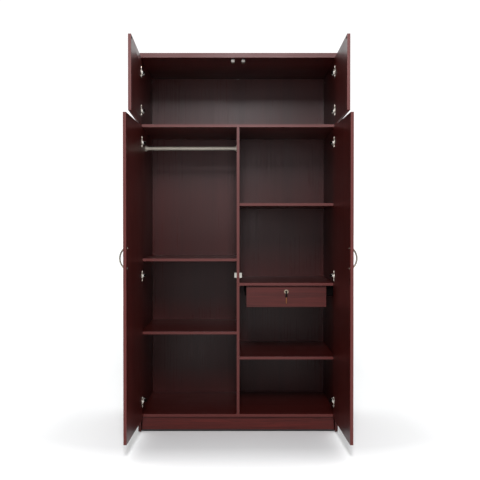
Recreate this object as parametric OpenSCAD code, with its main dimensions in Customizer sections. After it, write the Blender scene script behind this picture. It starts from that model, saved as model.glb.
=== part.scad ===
/* [Carcass] */
// Overall width over the side panels
body_w = 1090; // [900:10:1300]
// Depth of the side panels, front edge to rear edge
body_d = 600; // [520:10:650]
// Overall height from the floor to the top face
body_h = 2062; // [1900:1:2300]
// Thickness of every panel and door
board_t = 15; // [14:1:16]
// Thickness of the top board
top_t = 25; // [18:1:30]
// Thickness of the back sheets
back_t = 6; // [4:1:8]
// Height of the nail-on floor glides
glide_h = 4; // [3:1:6]
// Height of the underside of the bottom board
bottom_z = 84; // [70:1:110]
// Height of the underside of the loft floor
loft_z = 1664; // [1500:1:1700]

/* [Shelves] */
// Top faces of the two shelves in the left bay
left_shelf_tops = [949, 550];
// Top faces of the three shelves in the right bay
right_shelf_tops = [1251, 816, 413];

/* [Doors] */
// Gap between a closed door and the front edges
door_gap = 3; // [3:0.5:4]
// Distance of a door's hinge edge from the outer side
door_reveal = 1.5; // [1:0.5:2]
// Height of the lower edge of the lower doors
low_door_z0 = 79; // [74:1:90]
// Height of the upper edge of the lower doors
low_door_z1 = 1665; // [1640:1:1667]
// Height of the lower edge of the upper doors
up_door_z0 = 1674; // [1668:1:1680]
// Height of the upper edge of the upper doors
up_door_z1 = 2035; // [2000:1:2035]
// Opening angle of the lower left door as modelled
open_ll = 91.4; // [0:0.1:100]
// Opening angle of the lower right door as modelled
open_lr = 91.7; // [0:0.1:100]
// Opening angle of the upper left door as modelled
open_ul = 88.3; // [0:0.1:100]
// Opening angle of the upper right door as modelled
open_ur = 89.4; // [0:0.1:100]
// Heights of the hinges on each lower door
low_hinge_z = [172, 856, 1580];
// Heights of the hinges on each upper door
up_hinge_z = [1752, 1961];
// Height of the centre of the door handles
handle_z = 968; // [800:1:1100]
// Distance between the two screws of a handle
handle_pitch = 96; // [64:32:128]
// How far a handle's bow stands off the door
handle_rise = 26; // [20:1:32]
// Distance of a handle from the door's free edge
handle_inset = 39; // [30:1:60]

/* [Hanging rod] */
// Outer radius of the hanging rod
rod_r = 10; // [8:0.5:15]
// Height of the rod's axis
rod_z = 1572; // [1450:1:1600]
// Depth of the rod's axis behind the front edges
rod_back = 236; // [200:1:320]

/* [Drawer] */
// Left edge of the drawer front
drawer_x0 = 46; // [44:1:48]
// Right edge of the drawer front
drawer_x1 = 483; // [482:1:484]
// Lower edge of the drawer front
drawer_z0 = 682; // [676:1:686]
// Upper edge of the drawer front
drawer_z1 = 795; // [790:1:796]
// How far the drawer front sits behind the front edges
drawer_back = 25; // [24:1:30]
// Length of the drawer's sides
drawer_len = 400; // [350:10:440]
// Height of the lock's axis
lock_z = 766; // [764:1:768]
// Left-to-right place of the lock's axis
lock_x = 264.5; // [250:0.5:280]
// Travel of the lock's bolt
bolt_travel = 16; // [14:1:16]

/* [Hidden] */
$fn = 48;

wine = [0.26, 0.10, 0.10];
wine_dark = [0.18, 0.07, 0.07];
steel = [0.75, 0.74, 0.70];
pale = [0.85, 0.84, 0.80];
black = [0.08, 0.08, 0.08];

yf = -body_d / 2;              // front edges
yb = body_d / 2;               // rear edges
xo = body_w / 2;               // outer face of a side
xi = xo - board_t;             // inner face of a side
dv = board_t / 2;              // half the divider
z_under_top = body_h - top_t;
back_y = yb - 10;              // front face of the back sheets
inner_y = back_y - 1.1;        // rear edge of the inner boards
rebate_x = 7.5;                // width of the rebate in the sides' rear edges
bottom_top = bottom_z + board_t;
loft_top = loft_z + board_t;
door_w = body_w / 2 - door_reveal - 1.5;
top_over = door_gap + board_t; // the top board reaches over the doors
drill = 0.1;                   // a bore's radial clearance on a fixed fitting
run = 0.05;                    // a bore's radial clearance on a turning pin

// Concealed hinge: cup pin along and into the door, arm pin from the side's outer face and
// the front edges, link turn per door turn, and the link's elbow
low_hinge = [12, 5, 41.267, 8.988, 0.23085, 0.8, 8];
up_hinge = [11, 5, 33.709, 1.919, 0.2429, 0.7, 8];
cup_along = 22;
cup_r = 17.4;
cup_depth = 12.6;
cup_wall = 1;
cavity_r = 15.6;
cavity_depth = 11.6;
link_half_t = 1.3;
link_half_h = 4.5;
hub_r = 3.2;
pin_r = 1.5;
nose_r = 4;
cheek_in = 4.9;
cheek_out = 6.9;
flange_t = 1.2;
flange_half_h = 28;

function closed_pin(h) = [door_reveal + h[0], -door_gap - h[1]];
function link_len(h) = norm(closed_pin(h) - [h[2], h[3]]);
function link_dir0(h) = atan2(closed_pin(h)[1] - h[3], closed_pin(h)[0] - h[2]);
function link_dir(h, t) = link_dir0(h) + h[4] * t;
function cup_pin(h, t) = [h[2] + link_len(h) * cos(link_dir(h, t)),
    h[3] + link_len(h) * sin(link_dir(h, t))];
function along(t) = [cos(t), -sin(t)];
function into(t) = [-sin(t), -cos(t)];
function corner(h, t) = cup_pin(h, t) - h[0] * along(t) - h[1] * into(t);

// Left-hand frame: x from the outer side, y from the front edges; s = 1 mirrors it
module at_side(s) mirror([s > 0 ? 1 : 0, 0, 0]) translate([-xo, yf, 0]) children();
// Door frame: x along the door from its hinge edge, y = 0 its inner face, outer face at -board_t
module on_door(s, h, t) at_side(s) translate(concat(corner(h, t), [0])) rotate(-t) children();
// Link frame: x from the arm's pin towards the cup's pin
module on_link(s, h, t) at_side(s) translate([h[2], h[3], 0]) rotate(link_dir(h, t)) children();

module block(a, b) translate(a) cube(b - a);
module rod_x(r, x0, x1) translate([x0, 0, 0]) rotate([0, 90, 0]) cylinder(r = r, h = x1 - x0);
module rod_y(r, y0, y1) translate([0, y0, 0]) rotate([-90, 0, 0]) cylinder(r = r, h = y1 - y0);

// Cam locks: each entry is the middle of a joint's face and the turn of the board that ends there.
// In the entry's frame the board runs along +x, and the cam's pocket opens at -z.
cam_in = 34;
cam_r = 7.4;
cam_bolt_r = 3;
cam_bolt_mate = 10;
cam_ys = [yf + 60, 230];
function cams_at(p, turn) = [for (y = cam_ys) [[p[0], y, p[1]], turn]];
cams_bottom = concat(cams_at([-xi, bottom_z + dv], [0, 0, 0]), cams_at([xi, bottom_z + dv], [0, 0, 180]));
cams_loft = concat(cams_at([-xi, loft_z + dv], [180, 0, 0]), cams_at([xi, loft_z + dv], [180, 0, 180]));
middle_z = right_shelf_tops[1] - dv;
cams_middle = concat(cams_at([dv, middle_z], [0, 0, 0]), cams_at([xi, middle_z], [0, 0, 180]));
cams_side_l = cams_at([-xo + dv, z_under_top], [180, 90, 0]);
cams_side_r = cams_at([xo - dv, z_under_top], [0, 90, 0]);
cams_div_low = cams_at([0, bottom_top], [0, -90, 0]);
cams_div_high = cams_at([0, loft_z], [180, 90, 0]);
all_cams = concat(cams_bottom, cams_loft, cams_middle, cams_side_l, cams_side_r, cams_div_low,
    cams_div_high);

module at_each(list) for (c = list) translate(c[0]) rotate(c[1]) children();
module cam_bore() {
    translate([cam_in, 0, -dv - 1]) cylinder(r = cam_r + drill, h = 12.5 + 1 + drill);
    rod_x(cam_bolt_r + drill, -1, cam_in);
}
module cam_mate_bore() rod_x(cam_bolt_r + drill, -cam_bolt_mate - drill, 1);

// Shelf pins: four under each loose shelf
pin_ys = [yf + 45, 215];
shelf_pin_r = 2.5;
shelf_pin_in = 7;
shelf_pin_out = 8;
function pin_z(top) = top - board_t - shelf_pin_r;
module pin_bores(x, tops) for (top = tops) for (y = pin_ys)
    translate([x, y, pin_z(top)]) rod_x(shelf_pin_r + drill, -shelf_pin_in - drill, shelf_pin_in + drill);
loose_right_tops = [right_shelf_tops[0], right_shelf_tops[2]];

plate_y = [20, 60];
plate_t = 2.2;
plate_screw_dz = 20;
plate_screw_y = 39;
module plate_bores() for (z = concat(low_hinge_z, up_hinge_z)) for (d = [-1, 1])
    translate([board_t, plate_screw_y, z + d * plate_screw_dz]) rod_x(2 + drill, -10, 1);

module side_panel(s) difference() {
    at_side(s) difference() {
        block([0, 0, glide_h], [board_t, body_d, z_under_top]);
        block([rebate_x, body_d - 10, bottom_z], [board_t + 1, body_d + 1, z_under_top + 1]);
        plate_bores();
    }
    at_each(s < 0 ? cams_side_l : cams_side_r) cam_bore();
    for (c = concat(cams_bottom, cams_loft, s < 0 ? [] : cams_middle))
        if (c[0][0] * s > dv) translate(c[0]) rotate(c[1]) cam_mate_bore();
    pin_bores(s * xi, s < 0 ? left_shelf_tops : loose_right_tops);
}
module side_left() color(wine) side_panel(-1);
module side_right() color(wine) side_panel(1);

module top_board() color(wine) difference() {
    block([-xo, yf - top_over, z_under_top], [xo, yb, body_h]);
    block([-xo + rebate_x, back_y, z_under_top - 1], [xo - rebate_x, yb + 1, z_under_top + 7.5]);
    at_each(concat(cams_side_l, cams_side_r)) cam_mate_bore();
}

module bottom_board() color(wine) difference() {
    block([-xi, yf, bottom_z], [xi, inner_y, bottom_top]);
    at_each(cams_bottom) cam_bore();
    at_each(cams_div_low) cam_mate_bore();
}
module loft_floor() color(wine) difference() {
    block([-xi, yf, loft_z], [xi, inner_y, loft_top]);
    at_each(cams_loft) cam_bore();
    at_each(cams_div_high) cam_mate_bore();
}
module divider() color(wine) difference() {
    block([-dv, yf, bottom_top], [dv, inner_y, loft_z]);
    at_each(concat(cams_div_low, cams_div_high)) cam_bore();
    for (c = cams_middle) if (c[0][0] < dv + 1) translate(c[0]) rotate(c[1]) cam_mate_bore();
    for (top = left_shelf_tops) for (y = pin_ys) translate([-dv, y, pin_z(top)])
        rod_x(shelf_pin_r + drill, -1, shelf_pin_in + drill);
    for (top = loose_right_tops) for (y = pin_ys) translate([dv, y, pin_z(top)])
        rod_x(shelf_pin_r + drill, -shelf_pin_in - drill, 1);
}

module back_sheet(s) color(wine_dark) at_side(s)
    block([rebate_x + 0.4, body_d - 10, bottom_z], [xo - 0.8, body_d - 10 + back_t, z_under_top + 7]);
module back_left() back_sheet(-1);
module back_right() back_sheet(1);
module back_joiner() color(wine_dark) for (f = [[7, back_y - 1, back_y], [0.7, back_y, back_y + back_t],
    [7, back_y + back_t, back_y + back_t + 1]])
    block([-f[0], f[1], bottom_top + 2], [f[0], f[2], z_under_top - 2]);

nail_y = back_y + back_t;
module nail() {
    rotate([-90, 0, 0]) cylinder(r = 2.5, h = 0.8, $fn = 24);
    translate([0, -22, 0]) rotate([-90, 0, 0]) cylinder(r = 0.9, h = 22.2, $fn = 24);
}
module back_nails() color(steel) {
    for (s = [-1, 1]) {
        for (z = [bottom_z + dv, loft_z + dv]) for (i = [0:3])
            translate([s * (60 + i * 140), nail_y, z]) nail();
        for (z = s < 0 ? left_shelf_tops : right_shelf_tops) for (i = [0:1])
            translate([s * (140 + i * 240), nail_y, z - dv]) nail();
    }
}

plinth_x = xi - 3;
plinth_z = glide_h + 5;
module front_plinth() color(wine)
    block([-plinth_x, yf + 20, plinth_z], [plinth_x, yf + 20 + board_t, bottom_z]);
module plinth_strip() color(black) difference() {
    block([-plinth_x, yf + 19, 2], [plinth_x, yf + 20 + board_t, plinth_z + 1.5]);
    block([-xi - 1, yf + 20, plinth_z], [xi + 1, yf + 30 + board_t, plinth_z + 9]);
}
module rear_plinth() color(wine)
    block([-xi, 225, glide_h + 8], [xi, 225 + board_t, bottom_z]);
module cross_rail() color(wine)
    block([-dv, yf + 21.1 + board_t, glide_h], [dv, 224.9, bottom_z]);
module glide() {
    cylinder(r1 = 6.2, r2 = 7, h = 1);
    translate([0, 0, 1]) cylinder(r = 7, h = glide_h - 1);
}
module floor_glides() color(black) {
    for (s = [-1, 1]) for (y = [yf + 40, 0, yb - 60]) translate([s * (xo - dv), y, 0]) glide();
    for (y = [-190, 0, 190]) translate([0, y, 0]) glide();
}

module shelf(x0, x1, top) block([x0 + 0.3, yf + 1, top - board_t], [x1 - 0.3, inner_y, top]);
module left_shelf_upper() color(wine) shelf(-xi, -dv, left_shelf_tops[0]);
module left_shelf_lower() color(wine) shelf(-xi, -dv, left_shelf_tops[1]);
module right_shelf_upper() color(wine) shelf(dv, xi, right_shelf_tops[0]);
module right_shelf_lower() color(wine) shelf(dv, xi, right_shelf_tops[2]);
strike_y = yf + drawer_back + board_t + 7.3;
module right_shelf_middle() color(wine) difference() {
    block([dv, yf + 1, right_shelf_tops[1] - board_t], [xi, inner_y, right_shelf_tops[1]]);
    at_each(cams_middle) cam_bore();
    block([lock_x - 9, strike_y - 5, right_shelf_tops[1] - board_t - 1],
        [lock_x + 9, strike_y + 5, right_shelf_tops[1] - board_t + 10]);
    block([lock_x - 20, strike_y - 7, right_shelf_tops[1] - board_t - 1],
        [lock_x + 20, strike_y + 7, right_shelf_tops[1] - board_t + 1]);
}

module shelf_pins() color(steel) {
    for (y = pin_ys) {
        for (top = left_shelf_tops) {
            translate([-xi, y, pin_z(top)]) rod_x(shelf_pin_r, -shelf_pin_in, shelf_pin_out);
            translate([-dv, y, pin_z(top)]) rod_x(shelf_pin_r, -shelf_pin_out, shelf_pin_in);
        }
        for (top = loose_right_tops) {
            translate([dv, y, pin_z(top)]) rod_x(shelf_pin_r, -shelf_pin_in, shelf_pin_out);
            translate([xi, y, pin_z(top)]) rod_x(shelf_pin_r, -shelf_pin_out, shelf_pin_in);
        }
    }
}

module cam_locks() color(steel) at_each(all_cams) {
    difference() {
        translate([cam_in, 0, -dv]) cylinder(r = cam_r, h = 12.5);
        translate([cam_in - 4.5, -0.8, -dv - 1]) cube([9, 1.6, 3]);
        translate([cam_in - 0.8, -4.5, -dv - 1]) cube([1.6, 9, 3]);
    }
    rod_x(cam_bolt_r, -cam_bolt_mate, cam_in - cam_r + 1);
}

module hanging_rod() color(steel) translate([0, yf + rod_back, rod_z]) difference() {
    rod_x(rod_r, -xi + 3, -dv - 3);
    rod_x(rod_r - 1.2, -xi + 2, -dv - 2);
}
module rod_socket() {
    difference() {
        union() {
            rod_x(18, 0, 2.6);
            rod_x(rod_r + 2.6, 0, 13);
        }
        rod_x(rod_r + drill, 2.9, 14);
        for (d = [-1, 1]) translate([0, 0, d * 15.2]) rod_x(1.6, -1, 4);
    }
    for (d = [-1, 1]) translate([0, 0, d * 15.2]) {
        rod_x(2.4, 2.6, 3.8);
        rod_x(1.5, -9, 2.7);
    }
}
module rod_sockets() color(steel) {
    translate([-xi, yf + rod_back, rod_z]) rod_socket();
    translate([-dv, yf + rod_back, rod_z]) mirror([1, 0, 0]) rod_socket();
}

// Magnetic catches: housings closed in front, each with a magnet pushed in from behind
catch_front = yf - 0.8;
catch_len = 42;
catch_skin = 0.8;
divider_catch_z = 857.5;
catch_w = 26;
catch_h = 13;
knob_r = 9.5;
knob_z = 15;
module at_catches(upper) {
    if (!upper) for (s = [-1, 1]) translate([s * dv, catch_front, divider_catch_z])
        rotate([0, s * 90, 0]) children();
    if (upper) for (s = [-1, 1]) translate([s * 28, catch_front, z_under_top])
        mirror([0, 0, 1]) children();
}
module flat_catch() difference() {
    block([-catch_w / 2, 0, 0], [catch_w / 2, catch_len, catch_h]);
    block([-catch_w / 2 + 2.5, catch_skin, 2.2], [catch_w / 2 - 2.5, catch_len + 1, catch_h - 2.2]);
}
module round_catch() difference() {
    union() {
        block([-8.5, 7, 0], [8.5, catch_len - 4, knob_z]);
        intersection() {
            translate([0, 0, knob_z]) rod_y(knob_r, 0, catch_len);
            block([-12, -1, knob_z - 6.2], [12, catch_len + 1, knob_z + 6.2]);
        }
    }
    block([-5.4, catch_skin, knob_z - 4], [5.4, catch_len + 1, knob_z + 4]);
    for (y = [20, 32]) translate([0, y, -1]) cylinder(r = 1.6, h = knob_z);
}
module door_catches() color(pale) {
    at_catches(false) flat_catch();
    at_catches(true) round_catch();
}
module catch_magnets() color(black) {
    at_catches(false) block([-catch_w / 2 + 2.7, catch_skin + 0.2, 2.4],
        [catch_w / 2 - 2.7, 14, catch_h - 2.4]);
    at_catches(true) block([-5.2, catch_skin + 0.2, knob_z - 3.8], [5.2, 14, knob_z + 3.8]);
}

// Hinges, carcass side
module hinge_plate(z) translate([0, 0, z]) {
    difference() {
        union() {
            block([board_t, plate_y[0], -8.5], [board_t + plate_t, plate_y[1], 8.5]);
            block([board_t, plate_screw_y - 7, -26], [board_t + plate_t, plate_screw_y + 7, 26]);
        }
        for (d = [-1, 1]) translate([0, plate_screw_y, d * plate_screw_dz])
            rod_x(2 + drill, board_t - 1, board_t + 5);
    }
    for (d = [-1, 1]) translate([board_t, plate_screw_y, d * plate_screw_dz]) {
        rod_x(2, -9, plate_t);
        rod_x(4, plate_t, plate_t + 1.6);
    }
}
module hinge_plates() color(steel) for (s = [-1, 1]) at_side(s)
    for (z = concat(low_hinge_z, up_hinge_z)) hinge_plate(z);

module arm_cheek(h) {
    base = board_t + plate_t;
    linear_extrude(cheek_out - cheek_in) {
        translate([h[2], h[3]]) circle(r = nose_r, $fn = 32);
        polygon([[h[2] - nose_r, h[3]], [h[2] - nose_r * 0.72, h[3] - nose_r * 0.69],
            [h[2] + nose_r, h[3]], [h[2] + 1, h[3] + 14], [base + 9, plate_y[1] - 4],
            [base, plate_y[1] - 4], [base, plate_y[0] + 2], [h[2] - nose_r, h[3] + 8]]);
    }
}
module hinge_arm(h, z) translate([0, 0, z]) {
    base = board_t + plate_t;
    difference() {
        for (m = [0, 1]) mirror([0, 0, m]) translate([0, 0, cheek_in]) arm_cheek(h);
        translate([h[2], h[3], -8]) cylinder(r = pin_r, h = 16);
    }
    block([base, plate_y[0] + 2, -cheek_in - 0.5], [base + 2.4, plate_y[1] - 4, cheek_in + 0.5]);
    block([base, plate_y[0] + 2.4, -5.8], [base + 9.6, plate_y[0] + 20, 5.8]);
    translate([base + 5, plate_y[0] + 2.4, -5.6]) cylinder(r = 4.9, h = 11.2);
    translate([h[2], h[3], -cheek_out - 0.5]) cylinder(r = pin_r, h = 2 * cheek_out + 1);
    translate([base + 2.4, plate_y[1] - 14, 0]) rod_x(3.2, 0, 1.8);
}
module hinge_arms() color(steel) for (s = [-1, 1]) at_side(s) {
    for (z = low_hinge_z) hinge_arm(low_hinge, z);
    for (z = up_hinge_z) hinge_arm(up_hinge, z);
}

// Hinges, links
module link(h) {
    elbow = [h[5] * link_len(h), h[6]];
    difference() {
        union() {
            cylinder(r = hub_r, h = 2 * link_half_h, center = true);
            translate([link_len(h), 0, 0]) cylinder(r = hub_r, h = 2 * link_half_h, center = true);
            strap([0, 0], elbow);
            strap([link_len(h), 0], elbow);
        }
        cylinder(r = pin_r + run, h = 4 * link_half_h, center = true);
        translate([link_len(h), 0, 0]) cylinder(r = pin_r + run, h = 4 * link_half_h, center = true);
    }
}
module strap(a, b) translate(concat(a, [0])) rotate(atan2(b[1] - a[1], b[0] - a[0]))
    block([2, -link_half_t, 0.4 - link_half_h],
        [norm(b - a) + link_half_t * 0.7, link_half_t, link_half_h - 0.4]);
module links(s, h, t, zs) color(steel) on_link(s, h, t) for (z = zs) translate([0, 0, z]) link(h);
module lower_left_links() links(-1, low_hinge, open_ll, low_hinge_z);
module lower_right_links() links(1, low_hinge, open_lr, low_hinge_z);
module upper_left_links() links(-1, up_hinge, open_ul, up_hinge_z);
module upper_right_links() links(1, up_hinge, open_ur, up_hinge_z);

// Hinges, door side, in the door frame
module cup(h, z) translate([0, 0, z]) {
    difference() {
        union() {
            translate([cup_along, 0, 0]) rod_y(cup_r, -cup_depth, 0);
            translate([cup_along, 0, 0]) rod_y(19.5, 0, flange_t);
            block([cup_along - 8, 0, -flange_half_h], [cup_along + 8, flange_t, flange_half_h]);
        }
        translate([cup_along, 0, 0]) rod_y(cavity_r, -cavity_depth, 5);
        for (d = [-1, 1]) translate([cup_along, 0, d * 23.5]) rod_y(1.7, -1, 5);
    }
    intersection() {
        translate([h[0], -h[1], -16]) cylinder(r = pin_r, h = 32);
        translate([cup_along, 0, 0]) rod_y(cavity_r + 0.5, -cavity_depth, 0);
    }
    for (d = [-1, 1]) translate([cup_along, 0, d * 23.5]) {
        rod_y(3.4, flange_t, flange_t + 1.1);
        rod_y(1.6, -10, flange_t);
    }
}
module cups(s, h, t, zs) color(steel) on_door(s, h, t) for (z = zs) cup(h, z);
module lower_left_hinge_cups() cups(-1, low_hinge, open_ll, low_hinge_z);
module lower_right_hinge_cups() cups(1, low_hinge, open_lr, low_hinge_z);
module upper_left_hinge_cups() cups(-1, up_hinge, open_ul, up_hinge_z);
module upper_right_hinge_cups() cups(1, up_hinge, open_ur, up_hinge_z);

handle_x = door_w - handle_inset;
module door_leaf(z0, z1, zs, handled) difference() {
    block([0, -board_t, z0], [door_w, 0, z1]);
    for (z = zs) translate([cup_along, 0, z]) {
        rod_y(cup_r + drill, -cup_depth - drill, 1);
        for (d = [-1, 1]) translate([0, 0, d * 23.5]) rod_y(1.6 + drill, -10.1, 1);
    }
    if (handled) for (d = [-1, 1]) translate([handle_x, 0, handle_z + d * handle_pitch / 2])
        rod_y(2.1, -board_t - 1, 1);
}
module lower_left_door() color(wine)
    on_door(-1, low_hinge, open_ll) door_leaf(low_door_z0, low_door_z1, low_hinge_z, true);
module lower_right_door() color(wine)
    on_door(1, low_hinge, open_lr) door_leaf(low_door_z0, low_door_z1, low_hinge_z, true);
module upper_left_door() color(wine)
    on_door(-1, up_hinge, open_ul) door_leaf(up_door_z0, up_door_z1, up_hinge_z, false);
module upper_right_door() color(wine)
    on_door(1, up_hinge, open_ur) door_leaf(up_door_z0, up_door_z1, up_hinge_z, false);

// Strike plates on the doors' inner faces, opposite the catches
strike_t = 1.2;
module strike_plate(x0, x1, z0, z1) {
    block([x0, 0, z0], [x1, strike_t, z1]);
    translate([(x0 + x1) / 2, strike_t, (z0 + z1) / 2]) rod_y(2.2, 0, 0.4);
}
module low_strike(s, t) color(steel) on_door(s, low_hinge, t)
    strike_plate(xo - door_reveal - dv - 12, xo - door_reveal - dv - 1, divider_catch_z - 16,
        divider_catch_z + 16);
module up_strike(s, t) color(steel) on_door(s, up_hinge, t)
    strike_plate(xo - door_reveal - 28 - 12, xo - door_reveal - 28 + 12, z_under_top - knob_z - 6,
        z_under_top - knob_z + 6);
module lower_left_strike() low_strike(-1, open_ll);
module lower_right_strike() low_strike(1, open_lr);
module upper_left_strike() up_strike(-1, open_ul);
module upper_right_strike() up_strike(1, open_ur);

// Bow handle: an arc between two screwed feet
bar_r = 3.9;
foot_h = 5;
arc_rise = handle_rise - bar_r;
arc_r = (pow(handle_pitch / 2, 2) + pow(arc_rise, 2)) / (2 * arc_rise);
arc_half = asin(handle_pitch / 2 / arc_r);
module handle(s, t) color(steel) on_door(s, low_hinge, t) translate([handle_x, -board_t, handle_z]) {
    difference() {
        union() {
            difference() {
                translate([0, arc_r - arc_rise, 0]) rotate([0, 90, 0]) rotate(-96 - arc_half)
                    rotate_extrude(angle = 2 * arc_half + 12) translate([arc_r, 0])
                        circle(r = bar_r, $fn = 32);
                block([-20, 0, -handle_pitch], [20, 20, handle_pitch]);
            }
            for (d = [-1, 1]) translate([0, 0, d * handle_pitch / 2]) rod_y(5.6, -foot_h, 0);
        }
        for (d = [-1, 1]) translate([0, 0, d * handle_pitch / 2]) rod_y(2.05, -foot_h + 0.8, 1);
    }
    for (d = [-1, 1]) translate([0, 0, d * handle_pitch / 2]) {
        rod_y(2, -foot_h + 1, board_t + 0.2);
        rod_y(4.2, board_t, board_t + 2.2);
    }
}
module lower_left_handle() handle(-1, open_ll);
module lower_right_handle() handle(1, open_lr);

// Drawer
rail_x0 = 37;
rail_x1 = rail_x0 + board_t;
rail_x2 = 477.5;
rail_z1 = right_shelf_tops[1] - board_t;
rail_z0 = rail_z1 - 57;
runner_t = 12.7;
runner_z = 768;
front_y = yf + drawer_back;
box_y0 = front_y + board_t;
box_y1 = box_y0 + drawer_len;
box_x0 = rail_x1 + runner_t + 0.1;
box_x1 = rail_x2 - runner_t - 0.1;
box_t = 12;
box_z0 = 690;
box_z1 = 786;
module drawer_rails() color(wine_dark) {
    block([rail_x0, box_y0 + 1, rail_z0], [rail_x1, box_y1 + 10, rail_z1]);
    block([rail_x2, box_y0 + 1, rail_z0], [xi, box_y1 + 10, rail_z1]);
}
// Runner sections, x from the rail's face towards the drawer, y about the runner's centre line
module at_runners() for (m = [0, 1]) translate([m ? rail_x2 : rail_x1, 0, runner_z])
    mirror([m, 0, 0]) children();
module channel(x0, x1, xweb, half, t, y0, y1) {
    block([x0, y0, -half], [x1, y1, -half + t]);
    block([x0, y0, half - t], [x1, y1, half]);
    block([xweb, y0, -half], [xweb + t, y1, half]);
}
module runner_outer() color(steel) at_runners()
    channel(0, 9.4, 0, 17.5, 1.2, box_y0 + 2, box_y1);
module runner_inner() color(steel) at_runners()
    channel(4.2, runner_t, runner_t - 1.2, 11, 1.2, box_y0 + 2, box_y1);
module runner_cages() color(steel) at_runners() {
    block([2.2, -105, -14.05], [3, -15, 14.05]);
    for (d = [-1, 1]) {
        block([2.2, -105, d * 13.65 - 0.4], [8.6, -15, d * 13.65 + 0.4]);
        for (i = [0:3]) translate([6.4, -94 + i * 23, d * 13.65]) sphere(r = 2.3, $fn = 24);
    }
}
module drawer_front() color(wine) difference() {
    block([drawer_x0, front_y, drawer_z0], [drawer_x1, box_y0, drawer_z1]);
    translate([lock_x, 0, lock_z]) rod_y(9.6, front_y - 1, box_y0 + 1);
}
module drawer_box() color(wine_dark) {
    block([box_x0, box_y0, box_z0], [box_x0 + box_t, box_y1, box_z1]);
    block([box_x1 - box_t, box_y0, box_z0], [box_x1, box_y1, box_z1]);
    block([box_x0 + box_t, box_y1 - box_t, box_z0], [box_x1 - box_t, box_y1, box_z1]);
}
module drawer_bottom() color(wine_dark)
    block([box_x0, box_y0, box_z0 - 4], [box_x1, box_y1, box_z0]);

// Drawer lock: ring and case, plug with its finger, and the bolt that the finger lifts
ring_out = 2.2;
plug_r = 5.2;
plug_head_r = 6.6;
plug_head_back = front_y - ring_out + 1.8;
finger_y = [box_y0 + 5.2, box_y0 + 8.6];
bolt_y = [box_y0 + 4.6, box_y0 + 9.2];
bolt_foot_z = 6.2;
bolt_top_z = 24;
module lock_case() color(steel) translate([lock_x, 0, lock_z]) {
    difference() {
        union() {
            rod_y(11, front_y - ring_out, front_y);
            rod_y(9.5, front_y, box_y0 + 1);
            block([-22, box_y0, -16], [22, box_y0 + 14, 28]);
        }
        rod_y(plug_r + run, front_y - 5, box_y0 + 3);
        rod_y(plug_head_r + run, front_y - 5, plug_head_back + run);
        block([-20.5, box_y0 + 2.5, -14], [20.5, box_y0 + 12.5, 26.6]);
        block([-7.5, bolt_y[0] - 0.4, 20], [7.5, bolt_y[1] + 0.4, 33]);
    }
}
module lock_plug() color(black) translate([lock_x, 0, lock_z]) {
    difference() {
        union() {
            rod_y(plug_r, front_y - ring_out + 0.3, finger_y[1]);
            rod_y(plug_head_r, front_y - ring_out + 0.3, plug_head_back);
        }
        block([-1, front_y - 5, -4.1], [1, front_y + 12, 4.1]);
    }
    block([0, finger_y[0], -2], [bolt_travel, finger_y[1], 2]);
}
module lock_bolt() color(steel) translate([lock_x, 0, lock_z]) {
    block([-7, bolt_y[0], bolt_foot_z], [7, bolt_y[1], bolt_top_z]);
    block([-7, bolt_y[0], bolt_foot_z], [18, bolt_y[1], bolt_foot_z + 4]);
}
module lock_strike() color(steel) difference() {
    block([lock_x - 19.8, strike_y - 6.8, rail_z1], [lock_x + 19.8, strike_y + 6.8, rail_z1 + 1]);
    block([lock_x - 8.4, strike_y - 3.6, rail_z1 - 1], [lock_x + 8.4, strike_y + 3.6, rail_z1 + 2]);
}

// Key in the lock: a stub turned by a folding key that hangs from its cross pin
pin_drop = 9;
pin_y = front_y - 8.5;
module key_stub() color(black) translate([lock_x, 0, lock_z]) {
    block([-0.8, front_y - ring_out - 2, -3.8], [0.8, front_y + 11.5, 3.8]);
    rod_y(4.2, front_y - 11, front_y - ring_out - 0.5);
    block([-1.3, pin_y - 2.6, -pin_drop - 2.6], [1.3, pin_y + 2.6, 0]);
    translate([0, pin_y, -pin_drop]) rod_x(1.4, -4.8, 4.8);
}
module key_bow() color(black) translate([lock_x, pin_y, lock_z - pin_drop]) difference() {
    union() {
        for (d = [-1, 1]) translate([d * 3.15, 0, 0]) {
            rod_x(3.3, -1.45, 1.45);
            block([-1.45, -2, -7], [1.45, 2, 0]);
        }
        block([-4.6, -2, -11], [4.6, 2, -5]);
        translate([0, 0, -15.5]) rod_y(6.4, -2, 2);
    }
    rod_x(1.4 + run, -6, 6);
}
module key_blade() color([0.72, 0.55, 0.3]) translate([lock_x, pin_y, lock_z - pin_drop]) difference() {
    block([-2.1, -0.9, -55], [2.1, 0.9, -15]);
    for (i = [0:3]) block([0.9 + 0.3 * (i % 2), -2, -52 + i * 7], [4, 2, -49 + i * 7]);
}

side_left();
side_right();
top_board();
bottom_board();
loft_floor();
divider();
back_left();
back_right();
back_joiner();
back_nails();
front_plinth();
rear_plinth();
cross_rail();
plinth_strip();
floor_glides();
left_shelf_upper();
left_shelf_lower();
right_shelf_upper();
right_shelf_middle();
right_shelf_lower();
shelf_pins();
cam_locks();
hanging_rod();
rod_sockets();
door_catches();
catch_magnets();
hinge_plates();
hinge_arms();
drawer_rails();
runner_outer();
lock_strike();
lower_left_door();
lower_right_door();
upper_left_door();
upper_right_door();
lower_left_hinge_cups();
lower_right_hinge_cups();
upper_left_hinge_cups();
upper_right_hinge_cups();
lower_left_links();
lower_right_links();
upper_left_links();
upper_right_links();
lower_left_strike();
lower_right_strike();
upper_left_strike();
upper_right_strike();
lower_left_handle();
lower_right_handle();
drawer_front();
drawer_box();
drawer_bottom();
runner_inner();
runner_cages();
lock_case();
lock_plug();
lock_bolt();
key_stub();
key_bow();
key_blade();
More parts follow.
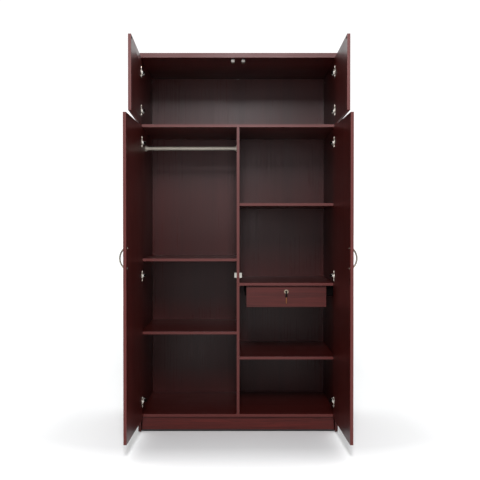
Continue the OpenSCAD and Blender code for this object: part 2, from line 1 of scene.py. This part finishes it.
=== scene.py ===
import math
import bmesh
import bpy
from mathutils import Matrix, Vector


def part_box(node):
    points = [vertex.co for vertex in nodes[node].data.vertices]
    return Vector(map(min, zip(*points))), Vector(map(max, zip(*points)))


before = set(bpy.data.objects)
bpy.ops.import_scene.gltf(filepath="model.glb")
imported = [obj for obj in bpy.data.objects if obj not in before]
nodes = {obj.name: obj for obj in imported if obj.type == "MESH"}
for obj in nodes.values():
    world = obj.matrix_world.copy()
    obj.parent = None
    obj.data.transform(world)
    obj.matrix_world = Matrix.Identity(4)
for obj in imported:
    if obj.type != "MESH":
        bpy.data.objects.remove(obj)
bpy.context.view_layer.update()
scene = bpy.context.scene

# ---------------------------------------------------------------- camera
# A pinhole camera fitted to the photograph, in metres, degrees and millimetres of lens
CAMERA_LENS = 58.72
CAMERA_SHIFT_X = 0.004
CAMERA_DISTANCE = 4.264  # before the side panels' front edges
CAMERA_HEIGHT = 1.1062
CAMERA_DOWN = 0.756
CAMERA_SIGHT = 500

camera = bpy.data.objects.new("camera", bpy.data.cameras.new("camera"))
scene.collection.objects.link(camera)
camera.data.sensor_width = 36
camera.data.lens = CAMERA_LENS
camera.data.shift_x = CAMERA_SHIFT_X
camera.location = (0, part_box("side_left")[0].y - CAMERA_DISTANCE, CAMERA_HEIGHT)
camera.rotation_euler = (math.radians(90 - CAMERA_DOWN), 0, 0)
camera.data.clip_end = CAMERA_SIGHT
scene.camera = camera
scene.view_settings.view_transform = "Standard"


# ---------------------------------------------------------------- material tools
def linear(byte):
    """One sRGB channel, 0 to 255, as linear light."""
    c = byte / 255
    return c / 12.92 if c <= 0.04045 else ((c + 0.055) / 1.055) ** 2.4


def srgb(r, g, b):
    return (linear(r), linear(g), linear(b), 1)


def scaled(colour, factor):
    return tuple(c * factor for c in colour[:3]) + (1,)


class Mat:
    """A procedural material: a principled shader and the few nodes that feed it."""

    def __init__(self, name, colour, rough, **sockets):
        self.m = bpy.data.materials.new(name)
        self.m.use_nodes = True
        self.t = self.m.node_tree
        self.bsdf = self.t.nodes["Principled BSDF"]
        self.bsdf.inputs["Base Color"].default_value = colour
        self.bsdf.inputs["Roughness"].default_value = rough
        for key, value in sockets.items():
            self.bsdf.inputs[key.replace("_", " ")].default_value = value
        self.coord = self.t.nodes.new("ShaderNodeTexCoord").outputs["Object"]

    def feed(self, sockets, values):
        """Link each value that is a node's output, and set each that is a constant."""
        for socket, value in zip(sockets, values):
            if isinstance(value, bpy.types.NodeSocket):
                self.t.links.new(value, socket)
            else:
                socket.default_value = value

    def noise(self, scale, stretch=(1, 1, 1), detail=4.0, rough=0.55, warp=0.0):
        mapping = self.t.nodes.new("ShaderNodeMapping")
        mapping.inputs["Scale"].default_value = stretch
        self.t.links.new(self.coord, mapping.inputs["Vector"])
        n = self.t.nodes.new("ShaderNodeTexNoise")
        n.inputs["Scale"].default_value = scale
        n.inputs["Detail"].default_value = detail
        n.inputs["Roughness"].default_value = rough
        n.inputs["Distortion"].default_value = warp
        self.t.links.new(mapping.outputs[0], n.inputs["Vector"])
        return n.outputs["Fac"]

    def remap(self, value, a, b, c, d):
        n = self.t.nodes.new("ShaderNodeMapRange")
        self.feed(n.inputs[:5], (value, a, b, c, d))
        return n.outputs[0]

    def ramp(self, value, stops):
        n = self.t.nodes.new("ShaderNodeValToRGB")
        while len(n.color_ramp.elements) < len(stops):
            n.color_ramp.elements.new(0.5)
        for e, (pos, colour) in zip(n.color_ramp.elements, stops):
            e.position, e.color = pos, colour
        self.t.links.new(value, n.inputs[0])
        return n.outputs[0]

    def mix(self, factor, a, b):
        n = self.t.nodes.new("ShaderNodeMix")
        n.data_type = "RGBA"
        self.feed((n.inputs[0], n.inputs[6], n.inputs[7]), (factor, a, b))
        return n.outputs[2]

    def math(self, op, *values):
        n = self.t.nodes.new("ShaderNodeMath")
        n.operation = op
        self.feed(n.inputs, values)
        return n.outputs[0]

    def to(self, socket, value):
        self.t.links.new(value, self.bsdf.inputs[socket])

    def bump(self, height, distance, strength):
        n = self.t.nodes.new("ShaderNodeBump")
        n.inputs["Strength"].default_value = strength
        n.inputs["Distance"].default_value = distance
        self.t.links.new(height, n.inputs["Height"])
        self.to("Normal", n.outputs[0])


def along_axis(axis, across, along):
    """A texture's scale: one value along an axis (0 x, 1 y, 2 z), another across it."""
    scale = [across, across, across]
    scale[axis] = along
    return scale


# ---------------------------------------------------------------- material families
def grained(name, axis, tone, rough, contrast=1.0, spec=0.3):
    """Printed mahogany laminate with its grain along one axis."""
    deep = scaled(tone, 1 - 0.38 * contrast)
    light = scaled(tone, 1 + 0.26 * contrast)
    m = Mat(name, tone, rough, Specular_IOR_Level=spec)
    figure = m.noise(1, along_axis(axis, 9, 0.35), 5, 0.6, 0.4)
    lines = m.noise(1, along_axis(axis, 150, 2.2), 3, 0.6)
    pore = m.noise(1, along_axis(axis, 420, 9), 2, 0.5)
    colour = m.ramp(figure, ((0.28, deep), (0.5, tone), (0.72, light)))
    colour = m.mix(m.remap(lines, 0.35, 0.7, 0, 0.45 * contrast), colour, deep)
    dark_pore = m.remap(pore, 0.60, 0.72, 0, 0.6 * contrast)
    m.to("Base Color", m.mix(dark_pore, colour, scaled(tone, 0.35)))
    worn = m.math("ADD", lines, m.noise(2.5, detail=3))
    m.to("Roughness", m.remap(worn, 0.7, 1.3, rough - 0.05, rough + 0.06))
    m.bump(m.math("SUBTRACT", lines, m.math("MULTIPLY", pore, 0.7)), 0.00012, 0.35)
    return m.m


def metal(name, colour, rough, brushed=None):
    """Plated metal, plain or brushed along one axis."""
    m = Mat(name, colour, rough, Metallic=1.0)
    stretch = [60, 60, 60] if brushed is None else along_axis(brushed, 900, 12)
    scuff = m.noise(1, stretch, 3, 0.6)
    cloud = m.noise(35, detail=4)
    m.to("Base Color", m.mix(m.remap(cloud, 0.3, 0.75, 0, 0.5), colour, scaled(colour, 0.8)))
    worn = m.math("ADD", scuff, cloud)
    m.to("Roughness", m.remap(worn, 0.7, 1.3, rough * 0.75, rough * 1.35))
    m.bump(scuff, 0.00002, 0.3)
    return m.m


def plastic(name, colour, rough, spec=0.4):
    """Plastic or lacquer with a fine grain and a soft cloud of tone."""
    m = Mat(name, colour, rough, Specular_IOR_Level=spec)
    fine = m.noise(900, detail=2)
    cloud = m.noise(20, detail=3)
    m.to("Base Color", m.mix(m.remap(cloud, 0.35, 0.7, 0, 0.6), colour, scaled(colour, 0.82)))
    m.to("Roughness", m.remap(cloud, 0.3, 0.7, rough - 0.05, rough + 0.08))
    m.bump(fine, 0.00004, 0.4)
    return m.m


# ---------------------------------------------------------------- materials
X, Y, Z = 0, 1, 2
WINE = srgb(62, 17, 14)
EDGE_WINE = srgb(78, 26, 22)
lam = {axis: grained("laminate_" + "xyz"[axis], axis, WINE, 0.34, spec=0.25)
       for axis in (X, Y, Z)}
edging = {axis: grained("edging_" + "xyz"[axis], axis, EDGE_WINE, 0.4, 0.5, 0.29)
          for axis in (X, Y, Z)}
sheet = grained("back_sheet", Z, srgb(55, 17, 15), 0.3, 0.8, 0.175)
# A lighter copy of the laminate as painted light, with stronger real grain, for the
# front-facing plinth and drawer front.
front = grained("laminate_front_painted_light", X, srgb(75, 24, 20), 0.45, 1.7, 0.2)
# Near-black laminate as painted shade, for the drawer rails in the shade under the shelf.
rail_laminate_painted_shade = grained("drawer_rail_painted_shade", Y, srgb(9, 6, 6), 0.8, 0.6, 0.02)

zinc = metal("zinc_plate", srgb(206, 204, 196), 0.34)
nickel = metal("nickel_plate", srgb(142, 136, 124), 0.28)
runner = metal("runner_steel", srgb(150, 150, 148), 0.38, brushed=Y)
# Dark zinc as painted shade, for metal parts that sit in shade: hinge arms and links, shelf
# pins and door strikes.
dark_zinc_painted_shade = metal("painted_shade_zinc", srgb(24, 22, 21), 0.6)
ring = metal("lock_ring", srgb(150, 142, 124), 0.36)
flange = metal("cup_zinc", srgb(214, 208, 196), 0.5)
iron = metal("magnet_iron", srgb(92, 92, 94), 0.5)
brass = metal("brass", srgb(116, 78, 44), 0.4, brushed=Z)

black = plastic("black_plastic", srgb(24, 22, 22), 0.42)
pale = plastic("pale_plastic", srgb(162, 162, 154), 0.42)
# A darker pale as painted shade, for the noses of the catches under the top.
catch_nose_painted_shade = plastic("pale_plastic_painted_shade", srgb(96, 92, 82), 0.42)
# Bright pale zinc as painted light, for the outer parts of the hinges' arms and links.
bright_zinc_painted_light = plastic("painted_light_zinc", srgb(210, 208, 200), 0.3, spec=0.8)
tube = plastic("rod_lacquer", srgb(158, 153, 140), 0.36, spec=0.5)
key_black = plastic("key_plastic", srgb(7, 6, 6), 0.6, spec=0.06)


# ---------------------------------------------------------------- painting the CAD pieces
EASED_EDGE = 0.0005
EASED_ANGLE = 40
FACE_ALIGNMENT = 0.7  # cosine above which a polygon belongs to the board's two faces


def paint(name, *materials):
    data = nodes[name].data
    data.materials.clear()
    for m in materials:
        data.materials.append(m)


def paint_by_place(name, materials, slot_at):
    """Several materials on one piece, each polygon's slot worked out from its centre."""
    paint(name, *materials)
    for p in nodes[name].data.polygons:
        p.material_index = slot_at(p.center)


def ease(name):
    """Round a board's sharp edges a little."""
    o = nodes[name]
    weld = o.modifiers.new("weld", "WELD")
    weld.merge_threshold = 1e-6
    bevel = o.modifiers.new("ease", "BEVEL")
    bevel.width, bevel.segments = EASED_EDGE, 2
    bevel.limit_method, bevel.angle_limit = "ANGLE", math.radians(EASED_ANGLE)
    bevel.use_clamp_overlap = True


def board(name, axis, face_material=None):
    """Laminate on a board's two faces, edging round it, and eased edges."""
    paint(name, face_material or lam[axis], edging[axis])
    polygons = nodes[name].data.polygons
    area = {}
    for p in polygons:
        key = tuple(abs(round(c, 2)) for c in p.normal)
        area[key] = area.get(key, 0) + p.area
    face = Vector(max(area, key=area.get))
    for p in polygons:
        n = Vector((abs(p.normal.x), abs(p.normal.y), abs(p.normal.z)))
        p.material_index = 0 if n.dot(face) > FACE_ALIGNMENT else 1
    ease(name)


DOORS = ("lower_left", "lower_right", "upper_left", "upper_right")

for name in ("side_left", "side_right", "divider") + tuple(d + "_door" for d in DOORS):
    board(name, Z)
for name in ("top_board", "bottom_board", "loft_floor", "rear_plinth", "left_shelf_upper",
             "left_shelf_lower", "right_shelf_upper", "right_shelf_middle",
             "right_shelf_lower"):
    board(name, X)
for name in ("front_plinth", "drawer_front"):
    board(name, X, front)
board("cross_rail", Y)

for material, names in (
        (sheet, ("back_left", "back_right", "back_joiner", "drawer_bottom")),
        (rail_laminate_painted_shade, ("drawer_rails",)),
        (lam[Y], ("drawer_box",)),
        (black, ("plinth_strip", "floor_glides")),
        (zinc, ("back_nails", "cam_locks", "hinge_plates", "lock_strike", "lock_bolt")),
        # Shelf pins and door strikes are painted dark zinc as painted shade.
        (dark_zinc_painted_shade, ("shelf_pins",) + tuple(d + "_strike" for d in DOORS)),
        (tube, ("hanging_rod", "rod_sockets")),
        (iron, ("catch_magnets",)),
        (runner, ("runner_outer", "runner_inner", "runner_cages")),
        (flange, tuple(d + "_hinge_cups" for d in DOORS)),
        (nickel, ("lower_left_handle", "lower_right_handle")),
        (ring, ("lock_case",)),
        (key_black, ("lock_plug", "key_stub", "key_bow")),
        (brass, ("key_blade",))):
    for name in names:
        paint(name, material)

# The catches under the top have their foot painted black and their nose a darker pale, both
# as painted shade under the top board; those on the divider are pale
CATCH_FOOT = 0.0088
CATCH_NOSE = 0.05
foot_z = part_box("top_board")[0].z - CATCH_FOOT
paint_by_place("door_catches", (pale, black, catch_nose_painted_shade),
               lambda c: 1 if c.z > foot_z else 2 if c.z > foot_z - CATCH_NOSE else 0)

# The outer part of a hinge's arm and the outer end of its link get bright zinc as painted
# light, the rest dark zinc as painted shade
ARM_PAINTED_LIGHT_REACH = 0.0125
LINK_PAINTED_LIGHT_REACH = 0.0155
inner_side = -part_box("side_left")[1].x
paint_by_place("hinge_arms", (bright_zinc_painted_light, dark_zinc_painted_shade),
               lambda c: 1 if abs(c.x) < inner_side - ARM_PAINTED_LIGHT_REACH else 0)
for door in DOORS:
    paint_by_place(door + "_links", (bright_zinc_painted_light, dark_zinc_painted_shade),
                   lambda c: 0 if abs(c.x) > inner_side - LINK_PAINTED_LIGHT_REACH else 1)

# ---------------------------------------------------------------- studio floor
FLOOR_HALF = 150
# The floor glows more the farther it lies from the case's sides and front, painted light that
# lifts the floor's shade away from the case
GLOW_SIDE = 0.5
GLOW_FRONT = -0.38
GLOW_FRONT_RATE = 2.0
GLOW_START, GLOW_END, GLOW_TOP = 0.45, 1.4, 0.33

bm = bmesh.new()
bmesh.ops.create_grid(bm, x_segments=1, y_segments=1, size=FLOOR_HALF)
data = bpy.data.meshes.new("floor")
bm.to_mesh(data)
bm.free()
floor = bpy.data.objects.new("floor", data)
scene.collection.objects.link(floor)
white = Mat("studio_floor", (0.815, 0.83, 0.83, 1), 0.6, Specular_IOR_Level=0.1)
white.to("Roughness", white.remap(white.noise(3), 0.3, 0.7, 0.55, 0.65))
away = white.t.nodes.new("ShaderNodeSeparateXYZ")
white.t.links.new(white.coord, away.inputs[0])
beside = white.math("SUBTRACT", white.math("ABSOLUTE", away.outputs[0]), GLOW_SIDE)
beside = white.math("MAXIMUM", beside, 0.0)
ahead = white.math("SUBTRACT", GLOW_FRONT, away.outputs[1])
ahead = white.math("MAXIMUM", white.math("MULTIPLY", ahead, GLOW_FRONT_RATE), 0.0)
squares = [white.math("MULTIPLY", v, v) for v in (beside, ahead)]
reach = white.math("SQRT", white.math("ADD", *squares))
white.bsdf.inputs["Emission Color"].default_value = (1, 1, 1, 1)
white.to("Emission Strength", white.remap(reach, GLOW_START, GLOW_END, 0.0, GLOW_TOP))
data.materials.append(white.m)

# ---------------------------------------------------------------- world
world = bpy.data.worlds.new("studio")
scene.world = world
world.use_nodes = True
tree = world.node_tree
background = tree.nodes["Background"]
coord = tree.nodes.new("ShaderNodeTexCoord")
split = tree.nodes.new("ShaderNodeSeparateXYZ")
tree.links.new(coord.outputs["Generated"], split.inputs[0])


def fade(axis, a, b, low, high):
    """Light that goes smoothly from low to high between two values of a direction."""
    n = tree.nodes.new("ShaderNodeMapRange")
    n.interpolation_type = "SMOOTHSTEP"
    for i, v in enumerate((a, b, low, high)):
        n.inputs[i + 1].default_value = v
    tree.links.new(split.outputs[axis], n.inputs[0])
    return n.outputs[0]


total = tree.nodes.new("ShaderNodeMath")
total.operation = "ADD"
tree.links.new(fade("Y", -0.3, 0.3, 0.3, 1.1), total.inputs[0])
tree.links.new(fade("Z", 0.35, 0.95, 0.0, 0.6), total.inputs[1])
tree.links.new(total.outputs[0], background.inputs["Strength"])
background.inputs["Color"].default_value = (1, 1, 1, 1)


# ---------------------------------------------------------------- lights
def softbox(name, place, aim, size, watts, colour):
    light = bpy.data.lights.new(name, "AREA")
    light.shape = "RECTANGLE"
    light.size, light.size_y = size
    light.energy = watts
    light.color = colour
    o = bpy.data.objects.new(name, light)
    o.location = place
    o.rotation_mode = "QUATERNION"
    o.rotation_quaternion = (Vector(aim) - Vector(place)).to_track_quat("-Z", "Y")
    scene.collection.objects.link(o)


softbox("front_box", (0, -5.6, 3.88), (0, 0, 1.2), (0.7, 1.55), 270, (1.0, 0.98, 1.0))
softbox("fill_panel", (0, -5.9, 1.95), (0, 0, 1.95), (1.25, 1.7), 36, (0.98, 0.86, 0.89))
